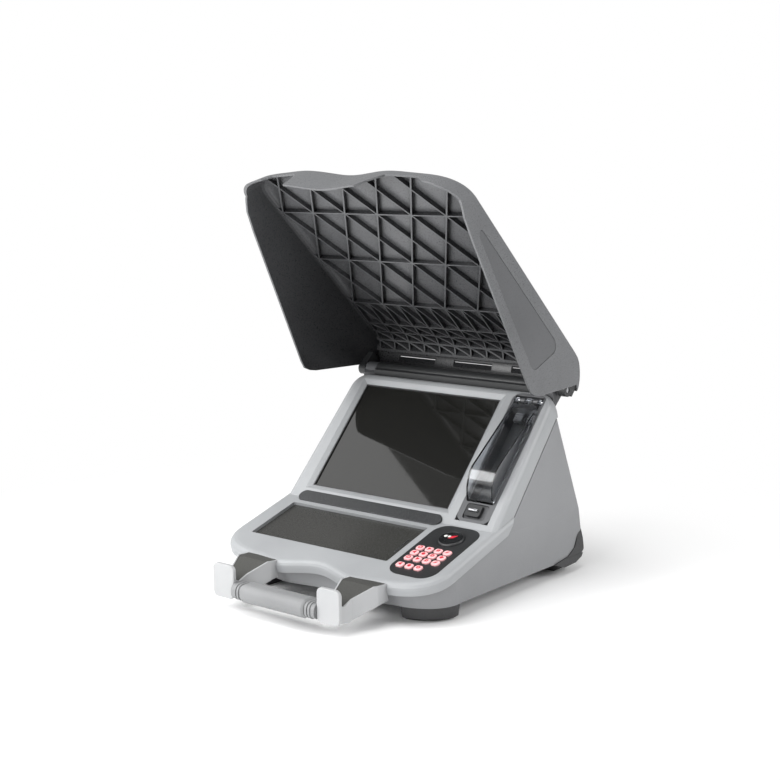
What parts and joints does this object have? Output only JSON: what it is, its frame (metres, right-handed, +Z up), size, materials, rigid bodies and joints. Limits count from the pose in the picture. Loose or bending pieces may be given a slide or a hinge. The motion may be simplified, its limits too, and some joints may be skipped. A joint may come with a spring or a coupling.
{
  "type": "pipe inspection camera monitor",
  "caption": "Wedge-shaped field monitor for a pipe inspection camera: sloped screen, keypad deck, clear-covered USB bay, hinged ribbed lid, carrying handle.",
  "frame": {"origin": "centre of the overall footprint, on the floor", "axes": "+X to the right of a person facing the screen, +Y to the back, +Z up"},
  "size_m": [0.4082, 0.4756, 0.5775],
  "materials": {
    "steel": "brushed",
    "black_plastic": "matte",
    "smoked_clear": "glossy",
    "dark_plastic": "matte",
    "shell_dark": "matte",
    "panel_grey": "glossy",
    "dark_rubber": "matte",
    "screen_glass": "glossy",
    "handle_grey": "matte",
    "grip_grey": "matte",
    "key_pink": "matte",
    "label_grey": "matte",
    "lid_grey": "matte",
    "shell_grey": "matte",
    "board_green": "matte",
    "bezel_grey": "matte"
  },
  "bodies": {
    "housing": {"base_screws": "steel", "battery_pack": "black_plastic", "bay_cover_pin": "steel", "bay_liner": "dark_plastic", "camera_socket": "steel", "connector_plate": "shell_dark", "control_panel": "panel_grey", "display_gasket": "dark_rubber", "display_glass": "screen_glass", "front_foot_left": "dark_rubber", "front_foot_right": "dark_rubber", "handle_arm_left": "handle_grey", "handle_arm_right": "handle_grey", "handle_grip": "grip_grey", "hinge_bracket_left": "shell_dark", "hinge_bracket_right": "shell_dark", "hinge_cover": "dark_plastic", "hinge_rod": "steel", "keypad_membrane": "dark_rubber", "keypad_plate": "dark_plastic", "lcd_module": "black_plastic", "lower_shell": "shell_grey", "main_board": "board_green", "name_strip": "dark_plastic", "power_inlet": "steel", "rear_cover": "shell_dark", "rear_cover_screws": "steel", "rear_foot_left": "dark_rubber", "rear_foot_right": "dark_rubber", "speaker": "black_plastic", "top_bezel": "bezel_grey", "usb_sockets": "steel", "wrap_pad_left": "dark_rubber", "wrap_pad_right": "dark_rubber"},
    "lid": {"lid_shell": "lid_grey", "lid_knuckle_left": "dark_plastic", "lid_knuckle_right": "dark_plastic", "lid_label_left": "label_grey", "lid_label_right": "label_grey"},
    "bay_cover": {"bay_cover": "smoked_clear"},
    "bay_latch": {"bay_latch": "dark_plastic"},
    "round_key": {"round_key": "dark_plastic"},
    "key_01": {"key_01": "key_pink"},
    "key_02": {"key_02": "key_pink"},
    "key_03": {"key_03": "key_pink"},
    "key_04": {"key_04": "key_pink"},
    "key_05": {"key_05": "key_pink"},
    "key_06": {"key_06": "key_pink"},
    "key_07": {"key_07": "key_pink"},
    "key_08": {"key_08": "key_pink"},
    "key_09": {"key_09": "key_pink"},
    "key_10": {"key_10": "key_pink"},
    "key_11": {"key_11": "key_pink"},
    "key_12": {"key_12": "key_pink"},
    "key_13": {"key_13": "key_pink"},
    "key_14": {"key_14": "key_pink"},
    "key_15": {"key_15": "key_pink"}
  },
  "joints": [
    {"name": "lid_hinge", "type": "hinge", "parent": "housing", "child": "lid", "pos_m": [0, 0.176, 0.272], "axis": [1, 0, 0], "range_deg": [-15, 76]},
    {"name": "bay_cover_hinge", "type": "hinge", "parent": "housing", "child": "bay_cover", "pos_m": [0.1435, 0.14525, 0.25565], "axis": [1, 0, 0], "range_deg": [-100, 0]},
    {"name": "bay_latch_slide", "type": "slide", "parent": "housing", "child": "bay_latch", "axis": [0, -0.6833, -0.7302], "range_m": [0, 0.003], "stiffness_N_per_m": 400, "springref_m": -0.001},
    {"name": "round_key_press", "type": "slide", "parent": "housing", "child": "round_key", "axis": [0, 0.2823, -0.9593], "range_m": [0, 0.0008], "stiffness_N_per_m": 800, "springref_m": -0.0004},
    {"name": "key_01_press", "type": "slide", "parent": "housing", "child": "key_01", "axis": [0, 0.2823, -0.9593], "range_m": [0, 0.0008], "stiffness_N_per_m": 600, "springref_m": -0.0004},
    {"name": "key_02_press", "type": "slide", "parent": "housing", "child": "key_02", "axis": [0, 0.2823, -0.9593], "range_m": [0, 0.0008], "stiffness_N_per_m": 600, "springref_m": -0.0004},
    {"name": "key_03_press", "type": "slide", "parent": "housing", "child": "key_03", "axis": [0, 0.2823, -0.9593], "range_m": [0, 0.0008], "stiffness_N_per_m": 600, "springref_m": -0.0004},
    {"name": "key_04_press", "type": "slide", "parent": "housing", "child": "key_04", "axis": [0, 0.2823, -0.9593], "range_m": [0, 0.0008], "stiffness_N_per_m": 600, "springref_m": -0.0004},
    {"name": "key_05_press", "type": "slide", "parent": "housing", "child": "key_05", "axis": [0, 0.2823, -0.9593], "range_m": [0, 0.0008], "stiffness_N_per_m": 600, "springref_m": -0.0004},
    {"name": "key_06_press", "type": "slide", "parent": "housing", "child": "key_06", "axis": [0, 0.2823, -0.9593], "range_m": [0, 0.0008], "stiffness_N_per_m": 600, "springref_m": -0.0004},
    {"name": "key_07_press", "type": "slide", "parent": "housing", "child": "key_07", "axis": [0, 0.2823, -0.9593], "range_m": [0, 0.0008], "stiffness_N_per_m": 600, "springref_m": -0.0004},
    {"name": "key_08_press", "type": "slide", "parent": "housing", "child": "key_08", "axis": [0, 0.2823, -0.9593], "range_m": [0, 0.0008], "stiffness_N_per_m": 600, "springref_m": -0.0004},
    {"name": "key_09_press", "type": "slide", "parent": "housing", "child": "key_09", "axis": [0, 0.2823, -0.9593], "range_m": [0, 0.0008], "stiffness_N_per_m": 600, "springref_m": -0.0004},
    {"name": "key_10_press", "type": "slide", "parent": "housing", "child": "key_10", "axis": [0, 0.2823, -0.9593], "range_m": [0, 0.0008], "stiffness_N_per_m": 600, "springref_m": -0.0004},
    {"name": "key_11_press", "type": "slide", "parent": "housing", "child": "key_11", "axis": [0, 0.2823, -0.9593], "range_m": [0, 0.0008], "stiffness_N_per_m": 600, "springref_m": -0.0004},
    {"name": "key_12_press", "type": "slide", "parent": "housing", "child": "key_12", "axis": [0, 0.2823, -0.9593], "range_m": [0, 0.0008], "stiffness_N_per_m": 600, "springref_m": -0.0004},
    {"name": "key_13_press", "type": "slide", "parent": "housing", "child": "key_13", "axis": [0, 0.2823, -0.9593], "range_m": [0, 0.0008], "stiffness_N_per_m": 600, "springref_m": -0.0004},
    {"name": "key_14_press", "type": "slide", "parent": "housing", "child": "key_14", "axis": [0, 0.2823, -0.9593], "range_m": [0, 0.0008], "stiffness_N_per_m": 600, "springref_m": -0.0004},
    {"name": "key_15_press", "type": "slide", "parent": "housing", "child": "key_15", "axis": [0, 0.2823, -0.9593], "range_m": [0, 0.0008], "stiffness_N_per_m": 600, "springref_m": -0.0004}
  ]
}
